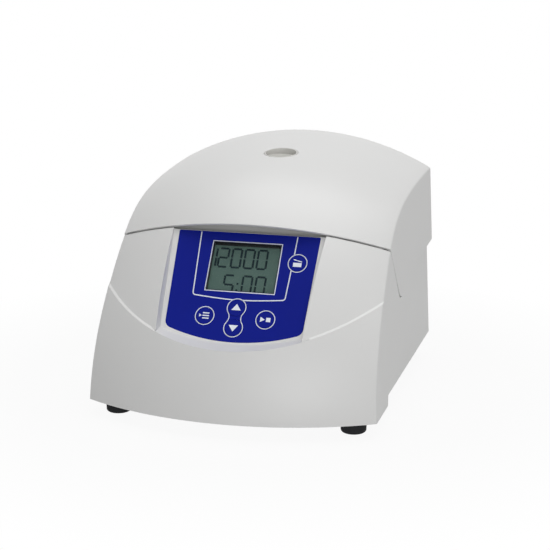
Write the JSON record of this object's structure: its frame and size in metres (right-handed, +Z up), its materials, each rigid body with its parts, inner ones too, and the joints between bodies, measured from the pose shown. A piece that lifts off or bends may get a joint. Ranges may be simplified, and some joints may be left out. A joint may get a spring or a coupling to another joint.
{
  "type": "microcentrifuge",
  "caption": "Benchtop microcentrifuge with crowned hinged lid, sight window, sunk control panel, fixed-angle rotor and rubber feet.",
  "frame": {"origin": "on the table under the middle of the instrument's overall width and depth", "axes": "+X to the operator's right, +Y to the rear, +Z up"},
  "size_m": [0.281, 0.3351, 0.2351],
  "materials": {
    "housing_plastic": "fine texture",
    "inner_plastic": "fine texture",
    "tube_grey": "smooth",
    "clear_pane": "clear",
    "overlay_blue": "printed foil",
    "key_blue": "printed foil",
    "display_glass": "grey-green",
    "black_plastic": "satin",
    "circuit_board": "solder mask",
    "dark_parts": "satin",
    "plated_steel": "zinc plated",
    "stainless_steel": "brushed",
    "rotor_aluminium": "anodised",
    "painted_can": "satin",
    "motor_core": "laminated",
    "rear_paint": "powder coat",
    "brass_pins": "plated",
    "black_rubber": "matte"
  },
  "bodies": {
    "base": {"housing_shell": "housing_plastic", "rotor_deck": "inner_plastic", "panel_overlay": "overlay_blue", "lcd_glass": "display_glass", "lcd_module": "black_plastic", "control_board": "circuit_board", "power_board": "circuit_board", "key_switches": "black_plastic", "board_screws": "plated_steel", "foot_screws": "plated_steel", "rotor_bowl": "stainless_steel", "shaft_gaiter": "black_rubber", "motor_can": "painted_can", "motor_stator": "motor_core", "motor_bearings": "stainless_steel", "motor_plate": "plated_steel", "motor_dampers": "black_rubber", "base_pan": "plated_steel", "rear_panel": "rear_paint", "power_inlet": "black_plastic", "inlet_pins": "brass_pins", "switch_frame": "black_plastic", "power_parts": "dark_parts", "latch_bracket": "plated_steel", "latch_motor": "plated_steel", "foot_front_left": "black_rubber", "foot_front_right": "black_rubber", "foot_rear_left": "black_rubber", "foot_rear_right": "black_rubber", "hinge_base_left": "plated_steel", "hinge_pin_left": "stainless_steel", "hinge_base_right": "plated_steel", "hinge_pin_right": "stainless_steel"},
    "lid": {"lid_shell": "housing_plastic", "lid_liner": "inner_plastic", "lid_seal": "black_rubber", "sight_tube": "tube_grey", "lid_window": "clear_pane", "lid_striker": "plated_steel", "lid_screws": "plated_steel", "hinge_arm_left": "plated_steel", "hinge_arm_right": "plated_steel"},
    "rotor": {"rotor_shaft": "stainless_steel", "rotor_core": "motor_core", "rotor_head": "rotor_aluminium", "rotor_nut": "black_plastic"},
    "key_select": {"key_select": "key_blue"},
    "key_up": {"key_up": "key_blue"},
    "key_down": {"key_down": "key_blue"},
    "key_start_stop": {"key_start_stop": "key_blue"},
    "key_lid": {"key_lid": "key_blue"},
    "power_rocker": {"power_rocker": "black_plastic"},
    "latch_hook": {"latch_hook": "plated_steel"}
  },
  "joints": [
    {"name": "lid_hinge", "type": "hinge", "parent": "base", "child": "lid", "pos_m": [0, 0.15855, 0.1298], "axis": [-1, 0, 0], "range_deg": [0, 75]},
    {"name": "rotor_spin", "type": "hinge", "parent": "base", "child": "rotor", "pos_m": [0, 0.05755, 0.0918], "axis": [0, 0, 1], "continuous": true},
    {"name": "rocker_tilt", "type": "hinge", "parent": "base", "child": "power_rocker", "pos_m": [-0.048, 0.14955, 0.0618], "axis": [1, 0, 0], "range_deg": [-9, 9]},
    {"name": "hook_turn", "type": "hinge", "parent": "base", "child": "latch_hook", "pos_m": [0, -0.03045, 0.1328], "axis": [1, 0, 0], "range_deg": [0, 52]},
    {"name": "key_select_press", "type": "slide", "parent": "base", "child": "key_select", "axis": [0, 0.8022, -0.5971], "range_m": [0, 0.0005], "stiffness_N_per_m": 2500},
    {"name": "key_up_press", "type": "slide", "parent": "base", "child": "key_up", "axis": [0, 0.8022, -0.5971], "range_m": [0, 0.0005], "stiffness_N_per_m": 2500},
    {"name": "key_down_press", "type": "slide", "parent": "base", "child": "key_down", "axis": [0, 0.8022, -0.5971], "range_m": [0, 0.0005], "stiffness_N_per_m": 2500},
    {"name": "key_start_stop_press", "type": "slide", "parent": "base", "child": "key_start_stop", "axis": [0, 0.8022, -0.5971], "range_m": [0, 0.0005], "stiffness_N_per_m": 2500},
    {"name": "key_lid_press", "type": "slide", "parent": "base", "child": "key_lid", "axis": [0, 0.8022, -0.5971], "range_m": [0, 0.0005], "stiffness_N_per_m": 2500}
  ]
}
